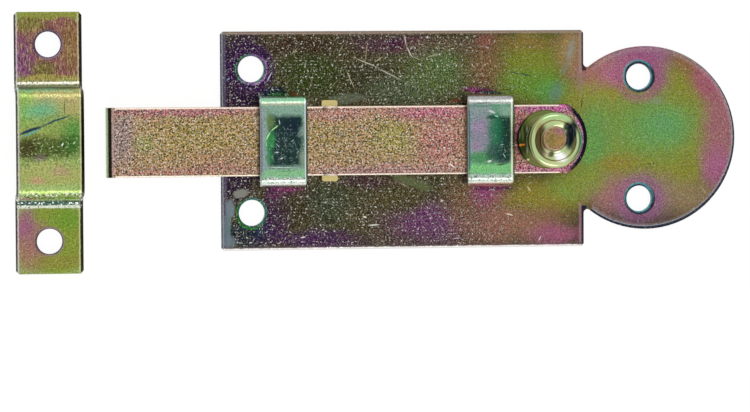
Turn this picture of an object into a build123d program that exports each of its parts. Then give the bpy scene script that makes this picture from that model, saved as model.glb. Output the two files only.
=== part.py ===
from build123d import *
import os

os.makedirs("parts", exist_ok=True)

# The bolt lies on its back: +Z stands out of the plate, +X runs from the nose of the bar
# towards the knob, and the origin is the middle of the plate's back face.
# The bar is modelled thrown, with the knob up against its strap.

# Base plate
plate_length = 120.0
plate_width = 50.0
plate_thickness = 2.0
round_end_radius = 21.2
shoulder_setback = 14.6       # from the middle of the round end to the shoulders
shoulder_fillet = 0.9
mill_edge_round = 0.8         # long edges of the rolled strip
sheared_edge_bevel = 0.6      # edges broken by the press
screw_hole_diameter = 6.0
hole_lip_bevel = 0.5
nose_hole_end_inset = 7.0     # middle of the nose holes from the nose end
nose_hole_side_inset = 8.6
round_hole_rim_inset = 7.0    # middle of the round end's holes from its rim
round_hole_setback = 1.5      # and behind its middle

# Straps
strap_width = 11.0
strap_thickness = 2.0
strap_bend_inside = 0.3
strap_rim_round = 0.6
nose_strap_inset = 13.6       # strap's middle from the nose end
knob_strap_inset = 61.3
tenon_width = 5.0
tenon_gap = 0.05              # tenon in its slot
peen_depth = 0.6              # spread of the tenon's tail at the plate's back
dent_length = 7.4             # dents that staking left at the straps' feet
dent_reach = 1.5
dent_depth = 0.3

# Bar
bar_length = 110.6
bar_width = 15.8
bar_thickness = 4.0
bar_side_gap = 0.4            # to each leg of a strap
bar_top_gap = 0.4             # to the strap over it
bar_slide_gap = 0.05          # to the plate under it
bar_edge_round = 0.35
bar_end_reach = 10.2          # knob's middle to the bar's round end
bar_end_bulge = 4.5           # height of the arc at the round end
bar_end_bevel = 1.0           # along that arc
nose_bevel = 1.1
nib_length = 3.6
nib_height = 2.2
nib_lift = 0.3                # nib's underside above the bar's
nib_reach = 1.35              # how far a nib stands out of the bar's edge
nib_corner_round = 0.5
nib_rest_gap = 3.7            # to the strap behind them, with the bar thrown
punch_length = 3.6            # marks of the punch that pressed the nibs out
punch_depth = 0.4
punch_inset = 0.9

# Knob and its rivet
knob_stop_gap = 0.6           # to the strap, with the bar thrown
knob_base_diameter = 13.4
knob_base_height = 2.6
knob_base_bevel = 0.9
knob_neck_diameter = 9.8
knob_neck_taper = 1.3         # height of the taper from the flange up to the neck
knob_head_flare = 2.2         # and of the flare from the neck up to the head
knob_head_diameter = 12.7
knob_head_underside_diameter = 11.8
knob_head_height = 3.6
knob_head_swell = 1.4         # from the head's underside up to its widest place
knob_height = 13.7
knob_crest_diameter = 11.2
knob_crest_land = 0.8         # flat ring round the dish
knob_dish_depth = 1.7
rivet_diameter = 4.2
rivet_gap = 0.05
rivet_head_diameter = 5.5
rivet_head_height = 0.7
rivet_head_bevel = 0.2
rivet_head_offset = 0.45      # head spread a little to one side of the shank
rivet_head_gap = 0.1          # round the head on the dish's floor
rivet_tail_depth = 1.2

# Keeper
keeper_width = 15.3
keeper_thickness = 2.0
keeper_gap = 5.15             # from the nose of the thrown bar
keeper_passage_width = 22.4   # between the legs at their feet
keeper_passage_height = 6.3   # at the legs
keeper_leg_lean = 0.7         # each leg leans in by this much
keeper_crown = 0.7            # rise of the bridge's middle over its ends
keeper_crown_radius = 150.0
keeper_bend_inside = 1.1
keeper_flange_length = 17.45  # from the foot of the bridge to the end
keeper_edge_bevel = 0.7       # long edges of the rolled strip
keeper_corner_clip = 0.7
keeper_hole_diameter = 5.8
keeper_hole_inset = 7.35      # from the flange's end

# Places along the bolt
nose_end_x = -plate_length / 2
round_end_x = plate_length / 2 - round_end_radius
shoulder_x = round_end_x - shoulder_setback
nose_holes_x = nose_end_x + nose_hole_end_inset
nose_hole_spacing = plate_width - 2 * nose_hole_side_inset
round_holes_x = round_end_x - round_hole_setback
round_hole_circle = round_end_radius - round_hole_rim_inset
round_hole_spacing = 2 * (round_hole_circle**2 - round_hole_setback**2) ** 0.5
strap_places = {
    "strap_nose": nose_end_x + nose_strap_inset,
    "strap_knob": nose_end_x + knob_strap_inset,
}
knob_strap_x = strap_places["strap_knob"]
knob_x = knob_strap_x + strap_width / 2 + knob_stop_gap + knob_base_diameter / 2
bar_end_x = knob_x + bar_end_reach
bar_nose_x = bar_end_x - bar_length
nib_x = strap_places["strap_nose"] + strap_width / 2 + nib_rest_gap + nib_length / 2
keeper_x = bar_nose_x - keeper_gap - keeper_width / 2

# Heights above the plate's back face
bar_bottom = plate_thickness + bar_slide_gap
bar_top = bar_bottom + bar_thickness

# A strap's middle line runs half a thickness outside its passage
strap_leg_y = bar_width / 2 + bar_side_gap + strap_thickness / 2
strap_roof_z = bar_top + bar_top_gap + strap_thickness / 2
strap_feet = [(x, side * strap_leg_y) for x in strap_places.values() for side in (-1, 1)]


# Base plate: square end and round end cut from one strip
with BuildPart() as base_plate:
    with BuildSketch() as plate_outline:
        with Locations(((nose_end_x + shoulder_x) / 2, 0)):
            Rectangle(shoulder_x - nose_end_x, plate_width)
        with Locations((round_end_x, 0)):
            Circle(round_end_radius)
        shoulder_corners = plate_outline.vertices().filter_by_position(
            Axis.X, shoulder_x - shoulder_fillet / 10, shoulder_x + shoulder_fillet / 10
        )
        fillet(shoulder_corners.sort_by(Axis.Y)[1:-1], shoulder_fillet)
    extrude(amount=plate_thickness)

    fillet(base_plate.edges().filter_by(Axis.X), mill_edge_round)
    plate_face = base_plate.faces().sort_by(Axis.Z)[-1]
    chamfer(plate_face.edges().filter_by(Axis.X, reverse=True), sheared_edge_bevel)

    # Screw holes, their upper lips broken by the punch
    with Locations(Plane.XY.offset(plate_thickness)):
        with Locations((nose_holes_x, 0)):
            with GridLocations(0, nose_hole_spacing, 1, 2):
                Hole(screw_hole_diameter / 2)
        with Locations((round_holes_x, 0)):
            with GridLocations(0, round_hole_spacing, 1, 2):
                Hole(screw_hole_diameter / 2)
    plate_face = base_plate.faces().sort_by(Axis.Z)[-1]
    chamfer(plate_face.inner_wires().edges(), hole_lip_bevel)

    # Slots for the straps' tenons, spread at the back
    with BuildSketch():
        with Locations(strap_feet):
            Rectangle(tenon_width + 2 * tenon_gap, strap_thickness + 2 * tenon_gap)
    extrude(amount=plate_thickness, mode=Mode.SUBTRACT)
    with BuildSketch():
        with Locations(strap_feet):
            Rectangle(
                tenon_width + 2 * (tenon_gap + peen_depth),
                strap_thickness + 2 * (tenon_gap + peen_depth),
            )
    extrude(amount=peen_depth, taper=45, mode=Mode.SUBTRACT)

    # Lens-shaped dents where the staking tool held the feet of the straps, shallower outwards
    dent_radius = (dent_length**2 / 4 + dent_depth**2) / (2 * dent_depth)
    for foot_x, foot_y in strap_feet:
        outward = 1 if foot_y > 0 else -1
        dent_y = foot_y + outward * strap_thickness / 2
        with BuildSketch(Plane.XZ.offset(-dent_y)):
            with Locations((foot_x, plate_thickness - dent_depth + dent_radius)):
                Circle(dent_radius)
        dent_slope = Vector(0, outward * dent_reach, dent_depth)
        extrude(amount=dent_slope.length, dir=dent_slope, mode=Mode.SUBTRACT)


# Straps: rounded strip bent over the bar, with a tenon under each leg
def build_strap(strap_x):
    with BuildPart() as strap:
        with BuildLine(Plane.YZ.offset(strap_x)):
            FilletPolyline(
                (-strap_leg_y, plate_thickness),
                (-strap_leg_y, strap_roof_z),
                (strap_leg_y, strap_roof_z),
                (strap_leg_y, plate_thickness),
                radius=strap_bend_inside + strap_thickness / 2,
            )
        with BuildSketch(Plane.XY.offset(plate_thickness)) as strip:
            with Locations((strap_x, -strap_leg_y)):
                Rectangle(strap_width, strap_thickness)
            fillet(strip.vertices().group_by(Axis.Y)[0], strap_rim_round)
        sweep()
        feet = [(strap_x, -strap_leg_y), (strap_x, strap_leg_y)]
        with BuildSketch():
            with Locations(feet):
                Rectangle(tenon_width, strap_thickness)
        extrude(amount=plate_thickness)
        with BuildSketch():
            with Locations(feet):
                Rectangle(tenon_width + 2 * peen_depth, strap_thickness + 2 * peen_depth)
        extrude(amount=peen_depth, taper=45)
    return strap


# Bar: flat strip with a bevelled nose and a bulged end under the knob
with BuildPart() as bolt_bar:
    with BuildSketch(Plane.XY.offset(bar_bottom)):
        with BuildLine():
            bar_sides = Polyline(
                (bar_end_x - bar_end_bulge, bar_width / 2),
                (bar_nose_x, bar_width / 2),
                (bar_nose_x, -bar_width / 2),
                (bar_end_x - bar_end_bulge, -bar_width / 2),
            )
            ThreePointArc(bar_sides @ 1, (bar_end_x, 0), bar_sides @ 0)
        make_face()
    extrude(amount=bar_thickness)
    bar_face = bolt_bar.faces().sort_by(Axis.Z)[-1]
    chamfer(bar_face.edges().sort_by(Axis.X)[0], nose_bevel)
    bar_face = bolt_bar.faces().sort_by(Axis.Z)[-1]
    chamfer(bar_face.edges().filter_by(GeomType.CIRCLE), bar_end_bevel)
    bar_face = bolt_bar.faces().sort_by(Axis.Z)[-1]
    bar_back = bolt_bar.faces().sort_by(Axis.Z)[0]
    fillet((bar_face.edges() + bar_back.edges()).filter_by(Axis.X), bar_edge_round)

    # Stop nibs pressed out of both edges, under the marks of the punch
    with BuildSketch(Plane.XY.offset(bar_bottom + nib_lift)):
        with Locations((nib_x, 0)):
            with GridLocations(0, bar_width, 1, 2):
                RectangleRounded(nib_length, 2 * nib_reach, nib_corner_round)
    extrude(amount=nib_height)
    punch_radius = (punch_length**2 / 4 + punch_depth**2) / (2 * punch_depth)
    for side in (-1, 1):
        punch_end_y = side * (bar_width / 2 - punch_inset)
        with BuildSketch(Plane.XZ.offset(-punch_end_y)):
            with Locations((nib_x, bar_top + punch_radius - punch_depth)):
                Circle(punch_radius)
        extrude(amount=-side * (punch_inset + nib_reach), mode=Mode.SUBTRACT)

    # Rivet hole with a countersink for its tail
    with BuildSketch(Plane.XY.offset(bar_bottom)):
        with Locations((knob_x, 0)):
            Circle(rivet_diameter / 2 + rivet_gap)
    extrude(amount=bar_thickness, mode=Mode.SUBTRACT)
    with BuildSketch(Plane.XY.offset(bar_bottom)):
        with Locations((knob_x, 0)):
            Circle(rivet_diameter / 2 + rivet_gap + rivet_tail_depth)
    extrude(amount=rivet_tail_depth, taper=45, mode=Mode.SUBTRACT)


# Knob: turned spool with a flange, a waisted neck and a dished head
knob_axis = Axis((knob_x, 0, bar_top), (0, 0, 1))
knob_plane = Plane(origin=(knob_x, 0, bar_top), x_dir=(1, 0, 0), z_dir=(0, -1, 0))
knob_bore_radius = rivet_diameter / 2 + rivet_gap
with BuildPart() as knob:
    with BuildSketch(knob_plane):
        base_radius = knob_base_diameter / 2
        head_radius = knob_head_diameter / 2
        head_foot = knob_height - knob_head_height
        dish_floor = knob_height - knob_dish_depth
        dish_floor_radius = rivet_head_diameter / 2 + rivet_head_offset + rivet_head_gap
        with BuildLine():
            spool = Polyline(
                (knob_bore_radius, 0),
                (base_radius, 0),
                (base_radius, knob_base_height - knob_base_bevel),
                (base_radius - knob_base_bevel, knob_base_height),
                (knob_neck_diameter / 2, knob_base_height + knob_neck_taper),
                (knob_neck_diameter / 2, head_foot - knob_head_flare),
                (knob_head_underside_diameter / 2, head_foot),
            )
            head = ThreePointArc(
                spool @ 1,
                (head_radius, head_foot + knob_head_swell),
                (knob_crest_diameter / 2, knob_height),
            )
            Polyline(
                head @ 1,
                (knob_crest_diameter / 2 - knob_crest_land, knob_height),
                (dish_floor_radius, dish_floor),
                (knob_bore_radius, dish_floor),
                spool @ 0,
            )
        make_face()
    revolve(axis=knob_axis)


# Rivet: its flat head fills the middle of the dish, its tail is spread flush under the bar
with BuildPart() as knob_rivet:
    with BuildSketch(knob_plane):
        shank_radius = rivet_diameter / 2
        with BuildLine():
            Polyline(
                (0, -bar_thickness),
                (shank_radius + rivet_tail_depth, -bar_thickness),
                (shank_radius, rivet_tail_depth - bar_thickness),
                (shank_radius, dish_floor),
                (0, dish_floor),
                close=True,
            )
        make_face()
    revolve(axis=knob_axis)
    with BuildSketch(Plane.XY.offset(bar_top + dish_floor)):
        with Locations((knob_x, rivet_head_offset)):
            Circle(rivet_head_diameter / 2)
    extrude(amount=rivet_head_height)
    chamfer(knob_rivet.faces().sort_by(Axis.Z)[-1].edges(), rivet_head_bevel)


# Keeper: rounded strip bent into a hat, its bridge slightly crowned
bridge_foot_y = keeper_passage_width / 2 + keeper_thickness / 2
bridge_top_y = bridge_foot_y - keeper_leg_lean
flange_z = keeper_thickness / 2
bridge_z = keeper_passage_height + keeper_thickness / 2
keeper_end_y = bridge_foot_y + keeper_flange_length
with BuildPart() as keeper:
    with BuildLine(Plane.YZ.offset(keeper_x)):
        bend = keeper_bend_inside + keeper_thickness / 2
        FilletPolyline(
            (-keeper_end_y, flange_z),
            (-bridge_foot_y, flange_z),
            (-bridge_top_y, bridge_z),
            (0, bridge_z + keeper_crown),
            (bridge_top_y, bridge_z),
            (bridge_foot_y, flange_z),
            (keeper_end_y, flange_z),
            radius=[bend, bend, keeper_crown_radius, bend, bend],
        )
    with BuildSketch(Plane.XZ.offset(keeper_end_y)) as keeper_strip:
        with Locations((keeper_x, flange_z)):
            Rectangle(keeper_width, keeper_thickness)
        chamfer(keeper_strip.vertices(), keeper_edge_bevel)
    sweep()
    with BuildSketch():
        with Locations((keeper_x, 0)):
            with GridLocations(keeper_width, 2 * keeper_end_y, 2, 2):
                RegularPolygon(keeper_corner_clip, side_count=4)
    extrude(amount=keeper_thickness, mode=Mode.SUBTRACT)
    with Locations((keeper_x, 0, keeper_thickness)):
        with GridLocations(0, 2 * (keeper_end_y - keeper_hole_inset), 1, 2):
            Hole(keeper_hole_diameter / 2, depth=keeper_thickness)
    flange_tops = keeper.faces().filter_by(Axis.Z).group_by(Axis.Z)[-1]
    chamfer(flange_tops.edges().filter_by(GeomType.CIRCLE), hole_lip_bevel)


pieces = {
    "base_plate": base_plate,
    "bolt_bar": bolt_bar,
    "knob": knob,
    "knob_rivet": knob_rivet,
    "keeper": keeper,
}
for strap_name, strap_x in strap_places.items():
    pieces[strap_name] = build_strap(strap_x)

for name, piece in pieces.items():
    piece.part.label = name
    export_step(piece.part, f"parts/{name}.step")
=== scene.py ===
from math import cos, pi, radians, sin

import bmesh
import bpy
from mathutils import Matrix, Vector


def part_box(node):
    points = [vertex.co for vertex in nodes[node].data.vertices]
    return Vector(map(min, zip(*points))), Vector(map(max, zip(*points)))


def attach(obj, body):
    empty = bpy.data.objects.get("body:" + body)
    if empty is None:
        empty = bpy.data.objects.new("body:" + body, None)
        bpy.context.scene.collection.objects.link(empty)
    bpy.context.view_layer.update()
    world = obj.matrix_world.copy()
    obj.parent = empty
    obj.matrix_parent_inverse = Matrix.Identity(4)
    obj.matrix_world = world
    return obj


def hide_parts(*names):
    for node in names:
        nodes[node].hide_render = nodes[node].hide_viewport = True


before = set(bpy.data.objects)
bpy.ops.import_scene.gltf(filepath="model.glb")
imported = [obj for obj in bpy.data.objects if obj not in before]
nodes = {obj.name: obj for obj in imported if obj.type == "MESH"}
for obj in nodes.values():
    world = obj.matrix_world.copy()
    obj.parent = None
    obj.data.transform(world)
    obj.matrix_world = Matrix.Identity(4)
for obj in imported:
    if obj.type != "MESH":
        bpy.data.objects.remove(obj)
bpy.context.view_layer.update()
print("frame loaded:", ", ".join(sorted(nodes)))

mm = 0.001  # everything below is written in millimetres


def fromHex(code):
    # sRGB hex to the linear colour that the shaders take
    parts = [int(code[i:i + 2], 16) / 255 for i in (1, 3, 5)]
    return [c / 12.92 if c <= 0.04045 else ((c + 0.055) / 1.055) ** 2.4 for c in parts] + [1.0]


def addNode(tree, kind, values=None, **settings):
    # one node with its settings; values that are sockets become links
    node = tree.nodes.new("ShaderNode" + kind)
    for key, value in settings.items():
        setattr(node, key, value)
    for socket, value in (values or {}).items():
        if isinstance(value, bpy.types.NodeSocket):
            tree.links.new(value, node.inputs[socket])
        else:
            node.inputs[socket].default_value = value
    return node


# Camera, at the photograph's angle: high over the nose end, turned a little towards the knob
view = {
    "place": (-140.3, 21.2, 800.0),
    "turn": (-2.533, -8.258, -0.320),   # degrees
    "lens": 168.96,
    "sensor": 36.0,
}
cameraData = bpy.data.cameras.new("bench camera")
cameraData.lens = view["lens"]
cameraData.sensor_width = view["sensor"]
camera = bpy.data.objects.new("bench camera", cameraData)
camera.location = Vector(view["place"]) * mm
camera.rotation_euler = [radians(a) for a in view["turn"]]
bpy.context.scene.collection.objects.link(camera)
bpy.context.scene.camera = camera
bpy.context.scene.view_settings.view_transform = "Standard"

# Studio: white table, pale sky, darker walls at the two ends, soft lamps along the two sides.
# The table's paper rises a little at the nose end, so the horizon stays bright there.
studio = {
    "skyLevel": 0.97,
    "endWallLevel": 0.22,
    "endWallFrom": 0.25,   # how far a direction leans to an end before it gets darker
    "endWallTo": 0.6,
    "endWallSides": 0.4,   # how fast the walls end towards the two sides
    "paperTop": 0.26,      # how high a direction rises before it clears the paper
    "tableSize": 6000.0,
    "tableDrop": 0.05,     # keeps the table's face out of the plate's back
    "tableColour": "#f4f4f4",
    "tableGlow": 1.05,     # the table shines by itself, as a lit backdrop does
    "shadowShare": 0.12,   # how much of the table's white takes shadow
    "lamps": [
        # name, place, width, height, watts
        ("lamp north", (40, 520, 520), 320, 260, 0.5),
        ("lamp south", (-30, -560, 460), 420, 260, 0.9),
    ],
}

world = bpy.data.worlds.new("studio")
world.use_nodes = True
bpy.context.scene.world = world
sky = world.node_tree
sky.nodes.clear()
direction = addNode(sky, "TexCoord").outputs["Generated"]
toward = addNode(sky, "SeparateXYZ", {0: direction}).outputs
lean = addNode(sky, "Math", {0: toward["X"]}, operation="ABSOLUTE").outputs[0]
aside = addNode(sky, "Math", {0: toward["Y"]}, operation="ABSOLUTE").outputs[0]
lean = addNode(sky, "Math", {0: aside, 1: -studio["endWallSides"], 2: lean},
               operation="MULTIPLY_ADD").outputs[0]
wall = addNode(sky, "MapRange", {
    "Value": lean, "From Min": studio["endWallFrom"], "From Max": studio["endWallTo"],
}, interpolation_type="SMOOTHSTEP").outputs[0]
paper = addNode(sky, "MapRange", {
    "Value": toward["Z"], "From Min": studio["paperTop"] / 2, "From Max": studio["paperTop"],
}, interpolation_type="SMOOTHSTEP").outputs[0]
atKnobEnd = addNode(sky, "Math", {0: toward["X"], 1: 0.0}, operation="GREATER_THAN").outputs[0]
paper = addNode(sky, "Math", {0: paper, 1: atKnobEnd}, operation="MAXIMUM").outputs[0]
wall = addNode(sky, "Math", {0: wall, 1: paper}, operation="MULTIPLY").outputs[0]
level = addNode(sky, "Mix", {0: wall, 2: studio["skyLevel"], 3: studio["endWallLevel"]}).outputs[0]
seen = addNode(sky, "LightPath").outputs["Is Camera Ray"]
level = addNode(sky, "Mix", {0: seen, 2: level, 3: 1.0}).outputs[0]
skyLight = addNode(sky, "Background", {"Color": fromHex("#ffffff"), "Strength": level})
addNode(sky, "OutputWorld", {"Surface": skyLight.outputs[0]})

for name, place, width, height, watts in studio["lamps"]:
    lampData = bpy.data.lights.new(name, "AREA")
    lampData.shape = "RECTANGLE"
    lampData.size = width * mm
    lampData.size_y = height * mm
    lampData.energy = watts
    lamp = bpy.data.objects.new(name, lampData)
    lamp.location = Vector(place) * mm
    lamp.rotation_euler = Vector(place).to_track_quat("Z", "Y").to_euler()
    lamp.visible_camera = False
    bpy.context.scene.collection.objects.link(lamp)

tableMesh = bmesh.new()
bmesh.ops.create_grid(tableMesh, x_segments=1, y_segments=1, size=studio["tableSize"] * mm / 2)
bmesh.ops.translate(tableMesh, vec=(0, 0, -studio["tableDrop"] * mm), verts=tableMesh.verts)
tableData = bpy.data.meshes.new("table")
tableMesh.to_mesh(tableData)
tableMesh.free()
table = bpy.data.objects.new("table", tableData)
bpy.context.scene.collection.objects.link(table)
tablePaint = bpy.data.materials.new("matt white table")
tablePaint.use_nodes = True
paint = tablePaint.node_tree
paint.nodes.clear()
matt = addNode(paint, "BsdfDiffuse", {"Color": fromHex(studio["tableColour"])}).outputs[0]
path = addNode(paint, "LightPath").outputs
mirrored = addNode(paint, "Math", {0: path["Is Glossy Ray"], 1: path["Is Transmission Ray"]},
                   operation="MAXIMUM").outputs[0]
shining = addNode(paint, "Mix", {0: path["Is Camera Ray"], 2: mirrored,
                                 3: studio["tableGlow"]}).outputs[0]
glow = addNode(paint, "Emission", {"Color": fromHex("#ffffff"), "Strength": shining}).outputs[0]
lit = addNode(paint, "MixShader", {0: studio["shadowShare"], 1: glow, 2: matt}).outputs[0]
addNode(paint, "OutputMaterial", {"Surface": lit})
tableData.materials.append(tablePaint)
print("studio ready")


# What the film of all pieces shares. Nearly all values of a noise lie between 0.3 and 0.7.
film = {
    "glossFrom": 0.3, "glossTo": 0.7,         # heights of the crystals between which the gloss changes
    "crystalFrom": 0.34, "crystalTo": 0.66,   # and between which they go from dark to light
    "crystalBreak": 0.6,                      # how ragged the crystals are
    "strokeFull": 0.4, "strokeGone": 1.1,     # a stroke fades between these shares of its half width
    "strokePower": 0.6,                       # below 1, more of the strokes are strong
    "lineFull": 0.5, "lineGone": 1.1,   # the same for the single lines, scratches and painted light alike
    "streakFrom": 0.66, "streakTo": 0.76,     # noise values at which a streak comes in, less its share
}


def newFinish(name):
    # a bare plated metal with the object's place in millimetres
    finish = bpy.data.materials.new(name)
    finish.use_nodes = True
    tree = finish.node_tree
    tree.nodes.clear()
    shader = addNode(tree, "BsdfPrincipled", {"Metallic": 1.0})
    addNode(tree, "OutputMaterial", {"Surface": shader.outputs[0]})
    place = addNode(tree, "TexCoord").outputs["Object"]
    place = addNode(tree, "VectorMath", {0: place, "Scale": 1 / mm}, operation="SCALE").outputs[0]
    return finish, tree, shader, place


def settle(tree, shader, colour, relief, look):
    # the film's colour, with gloss and fine relief from the same crystals
    tree.links.new(colour, shader.inputs["Base Color"])
    rough = addNode(tree, "MapRange", {
        "Value": relief, "From Min": film["glossFrom"], "From Max": film["glossTo"],
        "To Min": look["roughest"], "To Max": look["smoothest"]}).outputs[0]
    tree.links.new(rough, shader.inputs["Roughness"])
    bump = addNode(tree, "Bump", {
        "Height": relief, "Strength": look["relief"], "Distance": look["reliefDepth"] * mm})
    tree.links.new(bump.outputs[0], shader.inputs["Normal"])


def wander(tree, place, size, reach):
    # pushes the place about, so that what is drawn on it gets uneven edges
    drift = addNode(tree, "TexNoise", {"Vector": place, "Scale": 1 / size, "Detail": 2.0})
    drift = addNode(tree, "VectorMath", {0: drift.outputs[1], 1: (0.5, 0.5, 0.5)},
                    operation="SUBTRACT").outputs[0]
    return addNode(tree, "VectorMath", {0: drift, 1: (reach, reach, reach), 2: place},
                   operation="MULTIPLY_ADD").outputs[0]


def between(tree, value, start, end, softness, strength):
    # a mask that is full where the value lies from start to end
    value = addNode(tree, "Math", {0: value, 1: (start + end) / 2}, operation="SUBTRACT").outputs[0]
    value = addNode(tree, "Math", {0: value}, operation="ABSOLUTE").outputs[0]
    return addNode(tree, "MapRange", {
        "Value": value, "From Min": (end - start - softness) / 2,
        "From Max": (end - start + softness) / 2, "To Min": strength, "To Max": 0.0}).outputs[0]


def spread(tree, place, x, y, halfLength, halfWidth, turn):
    # how far out of an ellipse a place lies: 0 at its middle and 1 on its outline.
    # A long chain of Mapping nodes would do the same, but Cycles has too little memory for it.
    offset = addNode(tree, "VectorMath", {0: place, 1: (x, y, 0)}, operation="SUBTRACT").outputs[0]
    if turn:
        c, s = cos(turn), sin(turn)
        along = addNode(tree, "VectorMath", {0: offset, 1: (c / halfLength, s / halfLength, 0)},
                        operation="DOT_PRODUCT").outputs["Value"]
        across = addNode(tree, "VectorMath", {0: offset, 1: (-s / halfWidth, c / halfWidth, 0)},
                         operation="DOT_PRODUCT").outputs["Value"]
        local = addNode(tree, "CombineXYZ", {"X": along, "Y": across}).outputs[0]
    else:
        local = addNode(tree, "VectorMath", {0: offset, 1: (1 / halfLength, 1 / halfWidth, 0)},
                        operation="MULTIPLY").outputs[0]
    return addNode(tree, "VectorMath", {0: local}, operation="LENGTH").outputs["Value"]


def within(tree, place, x, y, halfLength, halfWidth, turn, full, gone, strength):
    # a mask over an ellipse, full up to one share of its size and gone at another
    reach = spread(tree, place, x, y, halfLength, halfWidth, turn)
    return addNode(tree, "MapRange", {
        "Value": reach, "From Min": full, "From Max": gone,
        "To Min": strength, "To Max": 0.0}).outputs[0]


def stain(tree, place, colour, patches):
    # soft patches of the passivation's colours, each laid over the last
    for code, x, y, halfLength, halfWidth, turn, softness, strength in patches:
        reach = spread(tree, place, x, y, halfLength, halfWidth, radians(turn))
        mask = addNode(tree, "MapRange", {
            "Value": reach, "From Min": 1 - softness, "From Max": 1 + softness,
            "To Min": strength, "To Max": 0.0,
        }, interpolation_type="SMOOTHSTEP").outputs[0]
        colour = addNode(tree, "Mix", {0: mask, 6: colour, 7: fromHex(code)}, data_type="RGBA").outputs[2]
    return colour


def panel(tree, place, colour, panels):
    # straight-sided areas with soft edges, for bevels, bends and bands
    parts = addNode(tree, "SeparateXYZ", {0: place}).outputs
    for code, x0, x1, y0, y1, softness, strength in panels:
        across = between(tree, parts["X"], x0, x1, softness, strength)
        along = between(tree, parts["Y"], y0, y1, softness, 1.0)
        mask = addNode(tree, "Math", {0: across, 1: along}, operation="MULTIPLY").outputs[0]
        colour = addNode(tree, "Mix", {0: mask, 6: colour, 7: fromHex(code)}, data_type="RGBA").outputs[2]
    return colour


def rim(tree, place, colour, rings):
    # rings of colour round holes and along the round end
    for code, x, y, inner, outer, softness, strength in rings:
        reach = spread(tree, place, x, y, 1, 1, 0)
        mask = between(tree, reach, inner, outer, softness, strength)
        colour = addNode(tree, "Mix", {0: mask, 6: colour, 7: fromHex(code)}, data_type="RGBA").outputs[2]
    return colour


def speckle(tree, place, colour, look, reach=1.0):
    # bright and dark crystals of the etched zinc, each with a slight tint of its own
    noise = addNode(tree, "TexNoise", {
        "Vector": place, "Scale": 1 / look["grainSize"], "Detail": 2.0,
        "Roughness": film["crystalBreak"]})
    level = addNode(tree, "MapRange", {
        "Value": noise.outputs[0], "From Min": film["crystalFrom"], "From Max": film["crystalTo"],
        "To Min": look["grainDark"], "To Max": look["grainLight"]}).outputs[0]
    level = addNode(tree, "Mix", {0: reach, 2: 1.0, 3: level}).outputs[0]
    tint = addNode(tree, "Mix", {
        0: look["grainHue"] / 2, 6: fromHex("#ffffff"), 7: noise.outputs[1],
    }, data_type="RGBA", blend_type="LINEAR_LIGHT").outputs[2]
    for factor in (tint, level):
        colour = addNode(tree, "Mix", {0: 1.0, 6: colour, 7: factor}, data_type="RGBA",
                         blend_type="MULTIPLY").outputs[2]
    return noise.outputs[0], colour


def strokes(tree, place, colour, layers, reach=1.0):
    # specks and short marks of handling, one to a cell and each turned its own way
    for code, cell, length, width, share, strength in layers:
        cells = addNode(tree, "TexVoronoi", {"Vector": place, "Scale": 1 / cell},
                        voronoi_dimensions="2D").outputs
        chance = addNode(tree, "SeparateColor", {0: cells["Color"]}).outputs
        offset = addNode(tree, "VectorMath", {0: place, 1: cells["Position"]},
                         operation="SUBTRACT").outputs[0]
        angle = addNode(tree, "Math", {0: chance[0], 1: pi}, operation="MULTIPLY").outputs[0]
        local = addNode(tree, "VectorRotate", {"Vector": offset, "Angle": angle},
                        rotation_type="Z_AXIS").outputs[0]
        local = addNode(tree, "VectorMath", {0: local, 1: (2 / length, 2 / width, 0)},
                        operation="MULTIPLY").outputs[0]
        far = addNode(tree, "VectorMath", {0: local}, operation="LENGTH").outputs["Value"]
        mask = addNode(tree, "MapRange", {
            "Value": far, "From Min": film["strokeFull"], "From Max": film["strokeGone"],
            "To Min": strength, "To Max": 0.0}).outputs[0]
        chosen = addNode(tree, "MapRange", {
            "Value": chance[1], "From Min": share / 2, "From Max": share,
            "To Min": 1.0, "To Max": 0.0}).outputs[0]
        mask = addNode(tree, "Math", {0: mask, 1: chosen}, operation="MULTIPLY").outputs[0]
        depth = addNode(tree, "Math", {0: chance[2], 1: film["strokePower"]},
                        operation="POWER").outputs[0]
        mask = addNode(tree, "Math", {0: mask, 1: depth}, operation="MULTIPLY").outputs[0]
        mask = addNode(tree, "Math", {0: mask, 1: reach}, operation="MULTIPLY").outputs[0]
        colour = addNode(tree, "Mix", {0: mask, 6: colour, 7: fromHex(code)}, data_type="RGBA").outputs[2]
    return colour


def streaks(tree, place, colour, layers, reach):
    # fine lines that all run one way, as rolling leaves them
    for code, turn, length, width, share in layers:
        local = addNode(tree, "Mapping", {
            "Vector": place, "Rotation": (0, 0, radians(turn)), "Scale": (length, width, length),
        }, vector_type="TEXTURE").outputs[0]
        lines = addNode(tree, "TexNoise", {"Vector": local, "Scale": 1.0, "Detail": 2.0}).outputs[0]
        mask = addNode(tree, "MapRange", {
            "Value": lines, "From Min": film["streakFrom"] - share,
            "From Max": film["streakTo"] - share}).outputs[0]
        mask = addNode(tree, "Math", {0: mask, 1: reach}, operation="MULTIPLY").outputs[0]
        colour = addNode(tree, "Mix", {0: mask, 6: colour, 7: fromHex(code)}, data_type="RGBA").outputs[2]
    return colour


def scratchesAndPaintedLight(tree, place, colour, lines):
    # single lines from one point to another, thinning to nothing at their ends: scratches, and painted
    # highlights, reflections and shade
    for code, x1, y1, x2, y2, width, strength in lines:
        along = Vector((x2 - x1, y2 - y1))
        mask = within(tree, place, (x1 + x2) / 2, (y1 + y2) / 2, along.length / 2, width / 2,
                      -Vector((1, 0)).angle_signed(along), film["lineFull"],
                      film["lineGone"], strength)
        colour = addNode(tree, "Mix", {0: mask, 6: colour, 7: fromHex(code)}, data_type="RGBA").outputs[2]
    return colour


def dress(node, finish):
    # gives a carried-over solid its finish
    nodes[node].data.materials.clear()
    nodes[node].data.materials.append(finish)
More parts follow.
